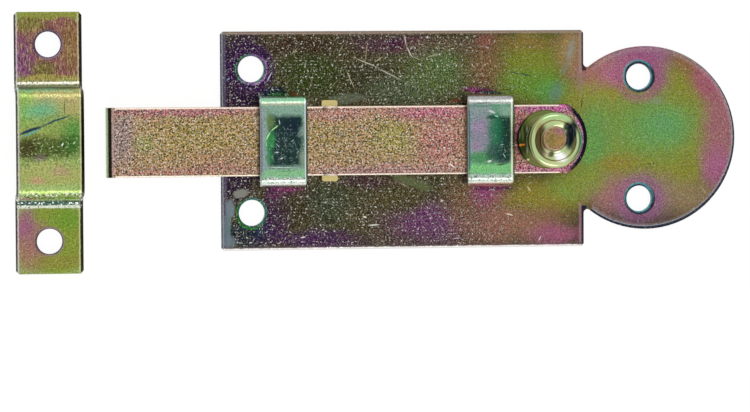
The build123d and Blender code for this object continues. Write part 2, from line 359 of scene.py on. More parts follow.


# Base plate: cold-rolled steel sheet, barrel zinc plated and yellow passivated.
# The thin film drifts from dark violet and green at the nose to olive, green and pink at the
# round end; the darkness at the nose is partly a painted reflection of a dark overhead.
# All of it lies under light specks and short marks from tumbling in the plating barrel.
plateLook = {
    "ground": "#45422c",
    "roughest": 0.5, "smoothest": 0.3,
    "relief": 0.3, "reliefDepth": 0.04,
    "grainSize": 0.28,     # zinc crystals are finer; drawn as coarse as they need to be to show
    "grainDark": 0.12, "grainLight": 2.2, "grainHue": 1.3,
    # how uneven each layer's edges are: size of the drift, how far it pushes them
    "waver": {
        "patches": (6.0, 3.0), "rims": (3.0, 0.5), "dents": (1.2, 0.6), "marks": (2.5, 0.7),
        "rubbed": (1.6, 1.2), "scratchesAndReflections": (5.0, 0.9), "crinkles": (1.0, 0.8), "bands": (1.0, 0.25),
    },
    "markedTo": -6.0, "smoothFrom": 14.0,   # the marks thin out between these places
    "marksLeft": 0.28,                      # to this share
    # the film's colours; the dark violet and navy patches at the nose are in part a painted reflection of
    # a dark overhead
    # colour, x, y, half length, half width, turn, softness, strength
    "patches": [
        ("#301a3a", -54.9, 16.7, 6, 8.2, 0, 0.3, 0.95),
        ("#26163a", -52.9, 11.2, 3.7, 1.8, 0, 0.4, 0.9),
        ("#1c2444", -48.3, 11.4, 2.8, 0.9, 0, 0.5, 0.9),
        ("#2c1a36", -56.6, 0.3, 6, 13.7, 0, 0.3, 0.95),
        ("#1c2a38", -54, -21.2, 6.5, 3.2, 0, 0.4, 0.9),
        ("#1c3048", -50.6, -20.3, 2.3, 2.3, 0, 0.5, 0.7),
        ("#3e1c4c", -47.3, -16.2, 3, 6.8, 0, 0.5, 0.9),
        ("#6c2860", -44.7, -11.9, 4.2, 1.1, 0, 0.5, 0.8),
        ("#32401a", -37.7, 15, 8.3, 5, 0, 0.6, 0.9),
        ("#3a2a20", -41.8, 21.9, 7.9, 2.1, 0, 0.5, 0.85),
        ("#4a2c40", -25.2, 22, 6, 1.8, 0, 0.8, 0.8),
        ("#3c1c48", -19.4, 22.4, 2.1, 1.1, 0, 0.7, 0.8),
        ("#443c26", -30.7, 20.2, 3.7, 2.7, 0, 0.7, 0.7),
        ("#4a1c3c", -15.4, 21.5, 6, 2.1, 0, 0.5, 0.85),
        ("#383624", -26.8, 14.2, 6.5, 3.7, 0, 0.6, 0.8),
        ("#46543c", -18.3, 11.4, 7.9, 3.4, 0, 0.5, 0.85),
        ("#3e3828", -40.9, -14.9, 6.9, 5, 0, 0.7, 0.9),
        ("#3a4834", -33.9, -14.5, 5.6, 4.6, 0, 0.8, 0.7),
        ("#462850", -37, -22.5, 13.4, 1.8, 0, 0.6, 0.9),
        ("#4a442e", -24.7, -17.2, 6.9, 6.8, 0, 0.7, 0.9),
        ("#442838", -27, -9.4, 5.6, 1.6, 0, 0.6, 0.7),
        ("#6a3c68", -11.5, -19, 9.3, 4.1, 0, 0.8, 0.85),
        ("#4a4428", -18.4, -13.4, 5.1, 3.2, 0, 0.6, 0.8),
        ("#604c40", -8.9, 21.4, 8.3, 1.8, 0, 0.8, 0.8),
        ("#54683a", -9.4, 15.5, 7.4, 5, 0, 0.8, 0.9),
        ("#50703a", -7.6, 17.3, 2.3, 2.3, 0, 0.9, 0.5),
        ("#785c40", 1.8, 16.8, 4.4, 5.9, 0, 0.8, 0.9),
        ("#804844", 1.3, 22.3, 2.1, 1.4, 0, 0.8, 0.7),
        ("#725840", -4, -14, 4.2, 4.6, 0, 0.8, 0.9),
        ("#7c5c50", 0.2, -19.6, 6, 4.6, 0, 0.8, 0.9),
        ("#8c3c70", 2.3, -12.9, 4.2, 2.5, 0, 0.8, 0.9),
        ("#8a6058", 5.4, -18.2, 4.2, 4.1, 0, 0.9, 0.8),
        ("#7c862f", 12.5, 15.8, 7.4, 8.2, 0, 0.6, 0.95),
        ("#88703a", 11.6, 22.3, 6.5, 1.8, 0, 0.9, 0.8),
        ("#a08458", 21, 20.4, 3.2, 5, 0, 0.8, 0.85),
        ("#629038", 12.7, 12.6, 6.9, 3, 0, 0.8, 0.85),
        ("#569c50", 17.7, 10, 4.2, 2.7, 0, 0.8, 0.8),
        ("#8c8234", 15, -13.5, 9.3, 4.1, 0, 0.6, 0.95),
        ("#7c9840", 21.3, -11, 5.1, 3.2, 0, 0.8, 0.85),
        ("#946c58", 11.9, -19.7, 7.9, 3.2, 0, 0.8, 0.9),
        ("#a05c78", 17.5, -22.1, 5.6, 2.1, 0, 0.8, 0.85),
        ("#8a8c38", 37.4, 1.8, 20.8, 18.3, 0, 0.2, 0.95),
        ("#a46c68", 28, 15.2, 6.5, 3.7, 0, 0.7, 0.9),
        ("#948c3c", 28.9, 9.7, 5.1, 3.2, 0, 0.8, 0.85),
        ("#6e9c4e", 39.8, 2.2, 10.6, 6.4, 0, 0.8, 0.95),
        ("#649a50", 26.1, -0.9, 3.7, 8.7, 0, 0.8, 0.9),
        ("#62a062", 43.1, 2.6, 5.1, 3.7, 0, 0.9, 0.8),
        ("#9c5c86", 37.5, 18.9, 6.9, 2.7, 0, 0.7, 0.9),
        ("#b06c8c", 31.8, 14.8, 3.2, 2.7, 0, 0.8, 0.8),
        ("#985c84", 41, 15.2, 3, 4.6, 0, 0.8, 0.8),
        ("#94684c", 50.3, 16.5, 6, 3.2, -40, 0.6, 0.8),
        ("#966488", 37.4, -14, 7.4, 4.6, 0, 0.8, 0.9),
        ("#a06c70", 30.3, -13, 5.1, 3.7, 0, 0.8, 0.8),
        ("#928038", 31.7, -6.1, 5.1, 1.6, 10, 0.9, 0.7),
        ("#84903c", 25.6, -9.7, 3.7, 2.7, 0, 0.8, 0.8),
        ("#a06870", 56.7, 3.5, 3.9, 11.4, 0, 0.7, 0.95),
        ("#a86088", 55.5, -7.2, 3, 5, 10, 0.8, 0.85),
        ("#a45c70", 53.6, 13.2, 3.2, 4.1, 30, 0.6, 0.85),
        ("#968060", 49.7, -14.1, 5.1, 3.7, 20, 0.8, 0.8),
    ],
    # areas that rubbing has left paler, laid over the marks
    "rubbed": [
        ("#6a7460", -31.2, 9.5, 4.6, 1.1, 5, 0.3, 0.6),
        ("#68744e", -16.1, -9.7, 4.6, 1.1, -20, 0.3, 0.6),
        ("#8c8c84", -55.5, -12, 1.6, 1, 10, 0.25, 0.9),
        ("#78868c", -58.1, -15.4, 1, 2.1, 0, 0.3, 0.9),
        ("#6c8484", -58.8, -20.2, 0.9, 4.1, 0, 0.3, 0.85),
        ("#708088", -58.4, -22.9, 1.6, 1.1, 0, 0.4, 0.8),
        ("#94a4a8", 21.2, 20.4, 0.7, 2.3, -15, 0.9, 0.5),
        ("#788c80", 19.8, 16.2, 0.7, 1.4, -20, 0.7, 0.4),
        ("#6c8494", 17.7, 10.7, 1.2, 1.8, -20, 0.9, 0.45),
        ("#94807c", 23.3, 13.4, 0.7, 2.7, 0, 0.7, 0.5),
        ("#8c9484", 41.5, 8.4, 1.2, 0.7, 0, 0.8, 0.5),
    ],
    # round the holes: film colour, painted highlights on the lips in green, violet and teal, and dark
    # rings inside the round end's holes painted as the hole walls' shade
    # colour, x, y, inner, outer, softness, strength
    "rims": [
        ("#3a1c4c", -53.0, 16.4, 3.4, 5.6, 1.2, 0.7),
        ("#3c9c5c", -53.2, 16.4, 3.0, 3.5, 0.2, 0.85),
        ("#9c74bc", -52.75, 16.3, 3.0, 3.5, 0.25, 0.85),
        ("#2c8c3c", -53.15, -16.55, 3.0, 3.6, 0.25, 0.85),
        ("#5c8c98", -52.85, -16.25, 3.0, 3.4, 0.2, 0.7),
        ("#a0587c", 37.3, 14.12, 3.9, 5.8, 2.0, 0.6),
        ("#1c2440", 37.3, 14.12, 2.8, 3.7, 0.2, 0.9),
        ("#3cb0b8", 37.0, 14.4, 3.2, 3.6, 0.2, 0.6),
        ("#94588c", 37.3, -14.12, 3.9, 5.4, 2.0, 0.5),
        ("#1c2440", 37.3, -14.12, 2.8, 3.7, 0.2, 0.9),
        ("#5cc0c8", 37.2, -13.9, 3.1, 3.5, 0.2, 0.6),
    ],
    "endFrom": 26.0,       # the round end's own rims start here
    # along the round end's edge: a soft paler ring, a painted teal highlight line, and the chamfer's
    # painted dark shade
    "endRims": [
        ("#b0949c", 38.8, 0, 20.0, 20.8, 0.6, 0.4),
        ("#9cb4b8", 38.5, 0.4, 20.75, 21.0, 0.2, 0.6),
        ("#141c34", 38.5, 0.4, 20.95, 22.0, 0.15, 0.95),
    ],
    # the long edges lighter, partly worn film and partly painted highlight; painted highlight and shade
    # lines along the nose end and the round end's shoulders
    # colour, from x, to x, from y, to y, softness, strength
    "bands": [
        ("#8e7c70", -60, 24.6, 24.3, 25.4, 0.4, 0.8),
        ("#6c5c68", -60, 24.6, -24.5, -24.1, 0.3, 0.5),
        ("#f4f0ec", -60, 24.6, -25.4, -24.55, 0.2, 0.85),
        ("#283040", -60.3, -59.85, -25.4, 25.4, 0.1, 0.85),
        ("#b8bccc", -59.8, -59.5, -24.8, 24.8, 0.2, 0.8),
        ("#6c6480", -59.4, -58.8, -24.4, 24.4, 0.3, 0.5),
        ("#b89498", 23.0, 23.7, 15.0, 24.4, 0.4, 0.5),
        ("#1c1c30", 23.8, 24.8, 15.6, 25.4, 0.25, 0.9),
        ("#c48ca8", 23.0, 23.5, -24.2, -15.0, 0.4, 0.5),
        ("#181c34", 23.6, 24.8, -25.4, -15.6, 0.25, 0.95),
    ],
    # colour, from x, y, to x, y, width, strength
    "scratchesAndReflections": [
        ("#c8c6b0", -29.3, 18.8, -23.3, 16.5, 0.28, 0.95),
        ("#b4b2a4", -24.3, 16.7, -18, 13.5, 0.34, 0.95),
        ("#bcb494", -31.4, 16.5, -29.2, 11.5, 0.26, 0.9),
        ("#a89070", -26.1, 23.1, -26.6, 17.4, 0.3, 0.85),
        ("#d0d0c4", -17.5, 24, -17.3, 21.5, 0.3, 0.95),
        ("#d0d0c4", -17.5, 21.7, -15.5, 18.5, 0.3, 0.95),
        ("#a8a894", -12.7, 18.7, -8.7, 19.8, 0.34, 0.8),
        ("#b0ae98", -15.7, 19.2, -13.6, 18, 0.26, 0.8),
        ("#ccc4dc", -48.2, 16, -49.6, 13.5, 0.34, 0.95),
        ("#a0a084", -31.6, 22, -33, 19.8, 0.26, 0.8),
        ("#c8bc94", -24.3, 17.9, -22.6, 19.2, 0.3, 0.8),
        ("#b4ac84", -43.8, 19.6, -42.2, 21.2, 0.26, 0.7),
        ("#98b8cc", -57.9, 14.4, -58.8, 13.8, 0.3, 0.8),
        ("#e8e8dc", -26.6, -19.5, -23.5, -19.4, 0.32, 1),
        ("#e8e8e0", -42.1, -22.4, -40.7, -22.1, 0.34, 1),
        ("#f4f0e0", -27.5, -17.6, -26.6, -17.8, 0.45, 1),
        ("#c8b8cc", -6.8, -22.7, -4.7, -22.6, 0.3, 0.9),
        ("#a89878", -7.3, -20.4, -5.9, -16.7, 0.24, 0.8),
        ("#b09c8c", -20, -9.2, -16.1, -11.5, 0.3, 0.5),
        ("#e8dcc8", 5.6, -17.3, 7.5, -17.8, 0.4, 0.9),
        ("#d8d0a0", 10.8, -10.9, 11.9, -12.3, 0.34, 0.9),
        ("#e4d4d4", 13.3, -23.7, 14, -22.3, 0.34, 0.8),
        ("#204050", 6.4, 15.6, 9.2, 14.9, 0.36, 0.6),
        ("#204050", 9.2, 15.1, 12, 14.5, 0.44, 0.7),
        ("#101810", 23.8, 10, 23.2, 6, 0.22, 0.9),
        ("#c0b04c", 46, -3.7, 50.5, -1.8, 0.3, 0.5),
        ("#b8a884", 51.6, -11.4, 53.3, -13.5, 0.3, 0.8),
        # painted reflections of the straps' sides, along their feet
        ("#9a5a2c", -50.6, 10.2, -40.2, 10, 0.3, 0.8),
        ("#a04a2c", -51.5, 10.1, -51.4, 7.8, 0.5, 0.8),
        ("#8c3c1c", -44.8, 10.9, -41.4, 10.2, 0.7, 0.6),
        ("#b08430", -3.6, 10.2, 7.8, 10, 0.4, 0.85),
        ("#b46c2c", -3.6, 9.9, -3.6, 7.9, 0.4, 0.85),
        ("#8a3a24", -7.6, 8.6, -3.9, 9.3, 0.9, 0.5),
        ("#b4746c", -3.5, -10.8, 7.3, -10.7, 0.5, 0.6),
    ],
    # the staking tool's dents at the straps' feet
    "dents": [
        ("#24603c", -47.1, 10.6, 2.1, 0.4, 0, 0.5, 0.85),
        ("#7c2c68", -0.1, 11.1, 3.7, 0.7, -8, 0.5, 0.9),
        ("#144c34", 2.4, 10.7, 2.8, 0.3, -4, 0.4, 0.9),
        ("#7c3068", -45.4, -11.1, 3.7, 0.4, 0, 0.6, 0.8),
        ("#58204c", 3, -11.3, 4.2, 0.5, 0, 0.6, 0.85),
    ],
    # crinkles in the film beside one hole of the round end: x, y, half length, half width,
    # turn, full up to, gone at, strength
    "crinkled": (38.8, -6.4, 3, 2.3, 0, 0.6, 1.2, 0.9),
    # colour, cell, length, width, share of the cells, strength
    "crinkles": [
        ("#141c08", 0.9, 0.8, 0.3, 0.7, 0.9),
        ("#d0b850", 1.0, 0.9, 0.26, 0.6, 0.85),
    ],
    "marks": [
        ("#0c0c08", 0.7, 0.65, 0.3, 0.9, 1.0),
        ("#a4a48c", 0.52, 0.4, 0.22, 0.75, 0.9),
        ("#0c0c08", 0.5, 0.4, 0.22, 0.7, 0.8),
        ("#8c6450", 1.1, 0.8, 0.22, 0.4, 0.7),
        ("#dcdcd0", 0.75, 0.55, 0.2, 0.55, 1.0),
        ("#f4f4ec", 1.3, 0.7, 0.22, 0.4, 1.0),
        ("#a8a690", 3.4, 3.0, 0.17, 0.3, 0.6),
    ],
}


def plateFinish():
    look = plateLook
    waver = look["waver"]
    finish, tree, shader, place = newFinish("yellow passivated zinc, rolled sheet")
    loose = wander(tree, place, *waver["patches"])
    colour = stain(tree, loose, fromHex(look["ground"]), look["patches"])
    colour = rim(tree, wander(tree, place, *waver["rims"]), colour, look["rims"])
    across = addNode(tree, "SeparateXYZ", {0: place}).outputs["X"]
    end = addNode(tree, "Math", {0: across, 1: look["endFrom"]}, operation="GREATER_THAN").outputs[0]
    rimmed = rim(tree, place, colour, look["endRims"])
    colour = addNode(tree, "Mix", {0: end, 6: colour, 7: rimmed}, data_type="RGBA").outputs[2]
    marked = addNode(tree, "MapRange", {
        "Value": across, "From Min": look["markedTo"], "From Max": look["smoothFrom"],
        "To Min": 1.0, "To Max": look["marksLeft"]}).outputs[0]
    colour = stain(tree, wander(tree, place, *waver["dents"]), colour, look["dents"])
    relief, colour = speckle(tree, place, colour, look, marked)
    colour = strokes(tree, wander(tree, place, *waver["marks"]), colour, look["marks"], marked)
    colour = stain(tree, wander(tree, place, *waver["rubbed"]), colour, look["rubbed"])
    colour = scratchesAndPaintedLight(tree, wander(tree, place, *waver["scratchesAndReflections"]), colour, look["scratchesAndReflections"])
    crinkled = within(tree, place, *look["crinkled"])
    loose = wander(tree, place, *waver["crinkles"])
    colour = strokes(tree, loose, colour, look["crinkles"], crinkled)
    colour = panel(tree, wander(tree, place, *waver["bands"]), colour, look["bands"])
    settle(tree, shader, colour, relief, look)
    return finish


dress("base_plate", plateFinish())
print("base plate finished")

# Bar: bright drawn flat bar, plated with the rest; a coarse crystalline sparkle over
# olive and pink drifts, with a magenta edge where the film is thickest.
barLook = {
    "ground": "#927c58",
    "roughest": 0.45, "smoothest": 0.28,
    "relief": 0.35, "reliefDepth": 0.05,
    "waver": {"patches": (5.0, 2.6), "marks": (1.2, 0.6), "bands": (1.0, 0.12), "rims": (0.8, 0.3)},
    "grainSize": 0.36,     # coarser than it is, as on the plate
    "grainDark": 0.04, "grainLight": 2.2, "grainHue": 1.3,
    "patches": [
        ("#88767a", -82.8, 1.1, 2.8, 5.9, 0, 0.7, 0.8),
        ("#8c7f44", -65.2, 0.9, 11.1, 4.1, 0, 0.8, 0.8),
        ("#859056", -77.9, -0.3, 2.1, 2.1, 0, 0.9, 0.6),
        ("#907356", -60.7, -4.5, 7.9, 2.7, 0, 0.8, 0.8),
        ("#976f64", -68.7, -6.5, 16.2, 1.1, 0, 0.7, 0.8),
        ("#9a646c", -68.6, 6.9, 17.1, 1.1, 0, 0.7, 0.85),
        ("#8c7c4b", -36.7, 1.4, 6, 4.6, 0, 0.8, 0.8),
        ("#9e736c", -34.3, 6.6, 7.9, 1.6, 0, 0.8, 0.85),
        ("#878840", -20.8, 0.5, 4.6, 3.2, 0, 0.9, 0.8),
        ("#9a6864", -9.7, -0.5, 5.6, 6.8, 0, 0.8, 0.85),
        ("#a25d73", -12.4, 6.4, 9.3, 1.6, 0, 0.8, 0.9),
        ("#977373", -22.9, -7, 17.6, 1.4, 0, 0.8, 0.85),
        ("#b45c94", 14.3, 7.3, 7.9, 1.6, 0, 0.6, 0.95),
        ("#b05c74", 8.2, 1, 1.6, 5.5, 0, 0.6, 0.95),
        ("#b4609c", 22.4, 0.1, 1.4, 5.5, 0, 0.6, 0.9),
        ("#b4688c", 14.2, -6.7, 7.9, 1.8, 0, 0.6, 0.9),
    ],
    # painted highlights along the long edges, painted highlight and shade lines on the nose bevel, then
    # the stop nibs' colour
    "bands": [
        ("#f6e6d6", -84.4, 17.6, 7.5, 7.95, 0.15, 0.8),
        ("#f0e4d4", -84.4, 17.6, -7.95, -7.5, 0.15, 0.8),
        ("#b8a0a8", -85.2, -84.7, -7.6, 7.6, 0.3, 0.5),
        ("#12160a", -85.95, -85.2, -7.9, 7.9, 0.2, 0.95),
        ("#c0d4b0", -86.6, -85.95, -8.2, 8.2, 0.15, 0.9),
        ("#d4c484", -37.4, -33.4, 7.95, 9.5, 0.1, 0.95),
        ("#d4c484", -37.4, -33.4, -9.5, -7.95, 0.1, 0.95),
    ],
    # the round end's bevel, painted dark as shade, with a paler line inside it: colour, x, y,
    # inner, outer, softness, strength
    "rims": [
        ("#16143a", 15.116, 0, 8.15, 9.3, 0.25, 0.97),
        ("#8c7484", 15.116, 0, 7.9, 8.15, 0.2, 0.5),
    ],
    "endFrom": 19.2, "endTo": 21.2,   # the bevel widens between these places
    "flecks": [("#f4ecf4", 0.9, 0.5, 0.3, 0.6, 0.9)],
    "fleckStrength": 0.6,
    "marks": [
        ("#241418", 0.66, 0.65, 0.3, 0.95, 1.0),
        ("#fffae8", 0.66, 0.55, 0.26, 0.85, 1.0),
        ("#ece888", 0.8, 0.5, 0.3, 0.5, 0.95),
        ("#f0acc8", 0.8, 0.5, 0.3, 0.55, 0.95),
    ],
    "scratchesAndReflections": [
        ("#fcf4ec", -8.3, -5.3, -6.5, -6.5, 0.36, 0.9),
        ("#84848c", -33.7, 2.9, -32.8, 0.2, 0.4, 0.7),
        ("#5c6478", -9.9, 4.6, -8.5, 3.6, 0.6, 0.6),
        ("#606878", -55.4, 1.1, -54.7, 0.2, 0.9, 0.5),
    ],
}


def barFinish():
    look = barLook
    waver = look["waver"]
    finish, tree, shader, place = newFinish("yellow passivated zinc, drawn bar")
    loose = wander(tree, place, *waver["patches"])
    colour = stain(tree, loose, fromHex(look["ground"]), look["patches"])
    relief, colour = speckle(tree, place, colour, look)
    colour = strokes(tree, wander(tree, place, *waver["marks"]), colour, look["marks"])
    colour = scratchesAndPaintedLight(tree, place, colour, look["scratchesAndReflections"])
    colour = panel(tree, wander(tree, place, *waver["bands"]), colour, look["bands"])
    rimmed = rim(tree, wander(tree, place, *waver["rims"]), colour, look["rims"])
    across = addNode(tree, "SeparateXYZ", {0: place}).outputs["X"]
    end = addNode(tree, "MapRange", {
        "Value": across, "From Min": look["endFrom"], "From Max": look["endTo"]}).outputs[0]
    rimmed = strokes(tree, place, rimmed, look["flecks"], look["fleckStrength"])
    colour = addNode(tree, "Mix", {0: end, 6: colour, 7: rimmed}, data_type="RGBA").outputs[2]
    settle(tree, shader, colour, relief, look)
    return finish


dress("bolt_bar", barFinish())
print("bar finished")

# Straps: cold-bent strip, plated after staking. The film is glossy and green, with a painted dark
# reflection on each roof, painted highlights on the bends and rims, and painted white sparkle where the
# bends opened the surface.
strapLook = {
    "ground": "#8cbc9c",
    "roughest": 0.32, "smoothest": 0.18,
    "relief": 0.15, "reliefDepth": 0.03,
    "waver": {
        "areas": (1.3, 1.1), "patches": (1.6, 1.0), "marks": (1.5, 0.7), "flakes": (1.0, 0.6),
        "lines": (1.4, 0.35), "edges": (1.0, 0.15),
    },
    "grainSize": 0.3,      # coarser than it is, as on the plate
    "grainDark": 0.72, "grainLight": 1.25, "grainHue": 0.3,
    "strap_nose": {
        # the roof's film colour, the bends lighter as painted highlights with the bottom one white, and
        # the roof's middle painted dark as a reflection
        # colour, from x, to x, from y, to y, softness, strength
        "areas": [
            ("#84a494", -52, -40.9, -7.3, 8.1, 0.6, 0.85),
            ("#94c8a4", -53, -40, 8.9, 10.8, 0.3, 0.85),
            ("#b4b09c", -53, -40, 8.2, 8.9, 0.3, 0.8),
            ("#88c08c", -53, -40, -7.9, -6.3, 0.5, 0.85),
            ("#aeb8ac", -53, -40, -9.3, -8.1, 0.3, 0.9),
            ("#f4f2ec", -53, -40, -10.8, -9.4, 0.3, 0.9),
            ("#969ea6", -52, -50.6, -7.3, 7.7, 0.5, 0.75),
            ("#1c3432", -49.9, -42.1, -5.6, 5.8, 1, 0.97),
        ],
        "patches": [
            ("#1a2438", -44.5, 3.5, 2.1, 1.8, 0, 0.8, 0.7),
            ("#688450", -49.5, 4.7, 0.9, 1.8, 8, 0.7, 0.85),
            ("#3c9054", -49.4, 0, 1, 2.1, -12, 0.4, 0.85),
            ("#3c8454", -49.6, -3.4, 0.8, 1.8, 0, 0.5, 0.75),
            ("#88a094", -42.2, 2.2, 0.8, 1.1, -20, 0.7, 0.75),
            ("#8ca08c", -42.2, -3.7, 0.7, 2.1, 0, 0.7, 0.7),
        ],
        "lines": [
            ("#b8f0a0", -47.5, 3.8, -49.5, 2.3, 0.34, 0.95),
            ("#b8f4a0", -49.4, 2.4, -50.5, 0.2, 0.36, 0.95),
            ("#90d890", -50.5, 0.4, -50.2, -1.2, 0.3, 0.85),
            ("#d8e8e4", -47.5, 5.1, -47.2, 3.8, 0.24, 0.8),
            ("#1c3424", -50.5, -6, -42.7, -6.2, 0.22, 0.7),
            ("#dce8e0", -50.5, -5.8, -42.7, -6, 0.24, 0.7),
            ("#1c4430", -48.5, -6.7, -43.7, -6.6, 0.2, 0.7),
        ],
        # painted highlight lines along both rims, and painted shade on the left side wall
        "edges": [
            ("#f0f4ec", -51.9, -51.5, -8.6, 9.7, 0.15, 0.8),
            ("#1c2030", -52.5, -51.75, -11, 11, 0.1, 0.9),
            ("#e8f0f4", -41.6, -41.3, -8.7, 9.6, 0.15, 0.85),
            ("#5c6c84", -51.5, -51.2, -6.8, 5.4, 0.3, 0.6),
        ],
        # the part of the roof's painted dark reflection that gets specks: x, y, half length, half width,
        # turn, full up to, gone at, strength
        "darkReflection": (-46.1, -1.4, 3, 3.9, 0, 0.7, 1.4, 1.0),
    },
    "strap_knob": {
        # the roof's film colour, the bends lighter as painted highlights with the bottom one white, and
        # the roof's middle painted dark as a reflection
        "areas": [
            ("#80a490", -4.6, 7, -7.8, 7.7, 0.6, 0.85),
            ("#8c949c", -4.3, 1.3, 2.7, 8.6, 1.6, 0.75),
            ("#b8acb4", -5, 8, 8.9, 10.8, 0.3, 0.8),
            ("#b8b0b4", -5, 8, 8.2, 8.9, 0.3, 0.8),
            ("#5c8c78", -5, 8, 7.4, 8.1, 0.4, 0.6),
            ("#7cc87c", -4.4, 6.5, -7.6, -5.4, 0.8, 0.85),
            ("#b0bcb0", -5, 8, -9.3, -8.1, 0.3, 0.9),
            ("#f6f2e8", -5, 8, -10.8, -9.4, 0.3, 0.9),
            ("#16382e", 2.4, 5.9, -5.3, 5.3, 1, 0.96),
        ],
        "patches": [
            ("#8c8498", -1.1, 1.3, 2.5, 3.9, 0, 0.35, 0.9),
            ("#a48ca8", -1.8, 2.7, 1.4, 1.1, 0, 0.6, 0.7),
            ("#9c84a0", -2.3, -1.6, 1.2, 1.1, 0, 0.6, 0.7),
            ("#4c8c58", -1.1, -4.1, 3.2, 1.4, 0, 0.5, 0.9),
            ("#287050", 2.2, 1.8, 1.6, 5, 0, 0.5, 0.85),
            ("#284840", 1.9, -3, 1.9, 2.1, 20, 0.6, 0.8),
            ("#1c3c34", 1.7, 5.2, 1.4, 0.4, 0, 0.5, 0.8),
        ],
        "lines": [
            # a painted highlight near the top bend
            ("#ece4ec", 0.6, 6.8, 2.4, 6, 0.6, 0.7),
            ("#9cf0b8", 2, 5.5, 3.1, 5.2, 0.4, 0.7),
            ("#f0f0e4", 0.3, -5.1, 1.4, -4.7, 0.6, 0.8),
            ("#101c14", 2.4, -5.8, 4.9, -5.5, 0.4, 0.8),
            ("#3c6c54", -3.1, 8.3, 1.5, 8.4, 0.4, 0.7),
        ],
        # painted highlight lines along both rims, and painted shade on the left side wall
        "edges": [
            ("#f4f0e4", -4.2, -3.9, -9.1, 9.3, 0.15, 0.8),
            ("#1c1c2c", -4.8, -4.1, -11, 11, 0.1, 0.9),
            ("#3c6c84", -3.9, -3.5, -6.9, 6.8, 0.25, 0.7),
            ("#f4f4d8", 5.9, 6.4, -9.3, 9.3, 0.2, 0.85),
            ("#74d8c8", 6.3, 6.5, 3.3, 7.9, 0.2, 0.6),
        ],
        "darkReflection": (3.3, -2.8, 2.1, 2.7, 0, 0.7, 1.4, 1.0),
    },
    "marks": [
        ("#e8f4e8", 0.9, 0.34, 0.24, 0.4, 0.35),
        ("#0c1814", 0.6, 0.5, 0.22, 0.7, 0.5),
    ],
    "flakes": [
        ("#080c10", 0.6, 0.5, 0.24, 0.8, 0.85),
        ("#9cb8bc", 0.62, 0.5, 0.2, 0.75, 0.75),
        ("#f4faf8", 1.3, 1.2, 0.18, 0.5, 0.85),
    ],
    "sparkle": [
        ("#0a100c", 0.62, 0.6, 0.34, 0.9, 1.0),
        ("#ffffff", 0.7, 0.6, 0.32, 0.8, 0.95),
    ],
    "bend": (-9.3, -8.1, 0.3, 1.0),   # where the bend gets painted sparkle: from y, to y, softness, strength
}


def strapFinish(node):
    look = strapLook
    own = look[node]
    waver = look["waver"]
    finish, tree, shader, place = newFinish("yellow passivated zinc, bent strip, " + node[6:])
    along = addNode(tree, "SeparateXYZ", {0: place}).outputs["Y"]
    loose = wander(tree, place, *waver["areas"])
    colour = panel(tree, loose, fromHex(look["ground"]), own["areas"])
    colour = stain(tree, wander(tree, place, *waver["patches"]), colour, own["patches"])
    relief, colour = speckle(tree, place, colour, look)
    colour = strokes(tree, wander(tree, place, *waver["marks"]), colour, look["marks"])
    darkReflection = within(tree, place, *own["darkReflection"])
    colour = strokes(tree, wander(tree, place, *waver["flakes"]), colour, look["flakes"], darkReflection)
    colour = scratchesAndPaintedLight(tree, wander(tree, place, *waver["lines"]), colour, own["lines"])
    colour = panel(tree, wander(tree, place, *waver["edges"]), colour, own["edges"])
    bend = between(tree, along, *look["bend"])
    colour = strokes(tree, place, colour, look["sparkle"], bend)
    settle(tree, shader, colour, relief, look)
    return finish


for node in ("strap_nose", "strap_knob"):
    dress(node, strapFinish(node))
print("straps finished")
